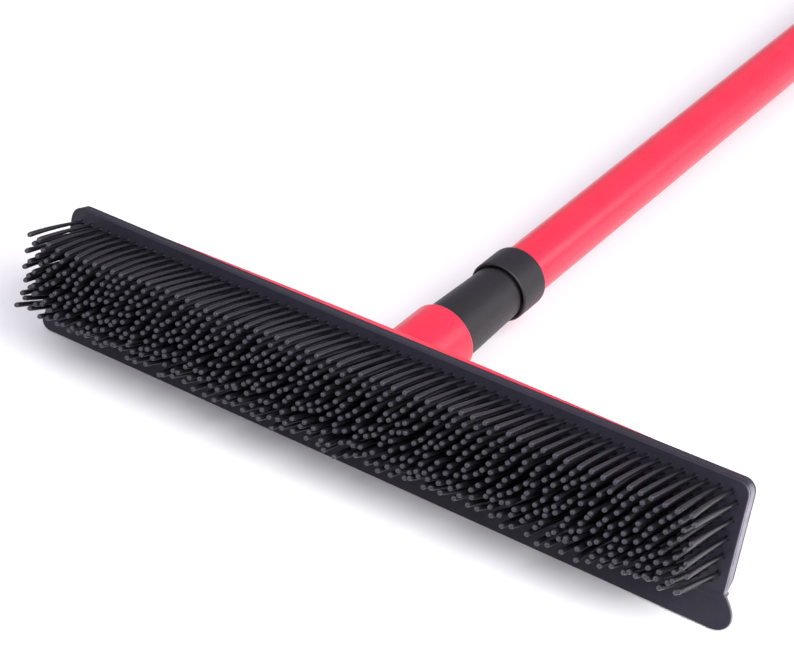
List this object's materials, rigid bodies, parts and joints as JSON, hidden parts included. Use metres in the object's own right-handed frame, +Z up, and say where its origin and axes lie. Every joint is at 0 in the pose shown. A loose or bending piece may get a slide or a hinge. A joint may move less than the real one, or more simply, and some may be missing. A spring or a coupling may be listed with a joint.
{
  "type": "rubber broom",
  "caption": "Rubber broom: wide pad of soft bristles with a squeegee blade below, red back plate with a socket, and a straight twist-lock telescoping handle with a hanging eye.",
  "frame": {"origin": "on the floor, under the middle of the whole part as it lies", "axes": "+X along the head, +Y from the bristles towards the handle's end cap, +Z up from the floor that the blade edge and the cap lie on"},
  "size_m": [0.3348, 0.9194, 0.0591],
  "materials": {
    "red_plastic": "satin moulded",
    "red_coated_steel": "satin powder coat",
    "black_rubber": "matte moulded",
    "bristle_rubber": "matte moulded",
    "black_plastic": "fine texture",
    "lock_plastic": "natural nylon",
    "plated_tube": "zinc plated",
    "bare_steel": "turned"
  },
  "bodies": {
    "head": {"head_back": "red_plastic", "rubber_pad": "black_rubber", "squeegee_blade": "black_rubber", "bristle_row_1": "bristle_rubber", "bristle_row_2": "bristle_rubber", "bristle_row_3": "bristle_rubber", "bristle_row_4": "bristle_rubber", "bristle_row_5": "bristle_rubber", "bristle_row_6": "bristle_rubber", "bristle_row_7": "bristle_rubber", "bristle_row_8": "bristle_rubber", "bristle_row_9": "bristle_rubber", "bristle_row_10": "bristle_rubber", "bristle_row_11": "bristle_rubber", "ferrule": "black_plastic", "ferrule_rivet": "bare_steel", "inner_tube": "plated_tube", "cam_plug": "lock_plastic", "cam_washer": "bare_steel", "cam_screw": "bare_steel"},
    "lock_ring": {"lock_ring": "lock_plastic"},
    "guide_bush": {"guide_bush": "lock_plastic"},
    "outer_pole": {"collar": "black_plastic", "outer_tube": "red_coated_steel", "cap_plug": "lock_plastic", "end_cap": "black_plastic"}
  },
  "joints": [
    {"name": "telescope_slide", "type": "slide", "parent": "head", "child": "guide_bush", "axis": [0, 0.9999, -0.0156], "range_m": [0, 0.6]},
    {"name": "twist_lock", "type": "hinge", "parent": "guide_bush", "child": "outer_pole", "pos_m": [0, -0.32416, 0.02461], "axis": [0, 0.9999, -0.0156], "range_deg": [0, 60]},
    {"name": "lock_ring_turn", "type": "hinge", "parent": "head", "child": "lock_ring", "pos_m": [0.0006, 0.37375, 0.01374], "axis": [0, 0.9999, -0.0156], "range_deg": [0, 60]}
  ],
  "couplings": [
    {"joint": "lock_ring_turn", "follows": "twist_lock", "ratio": 1}
  ]
}
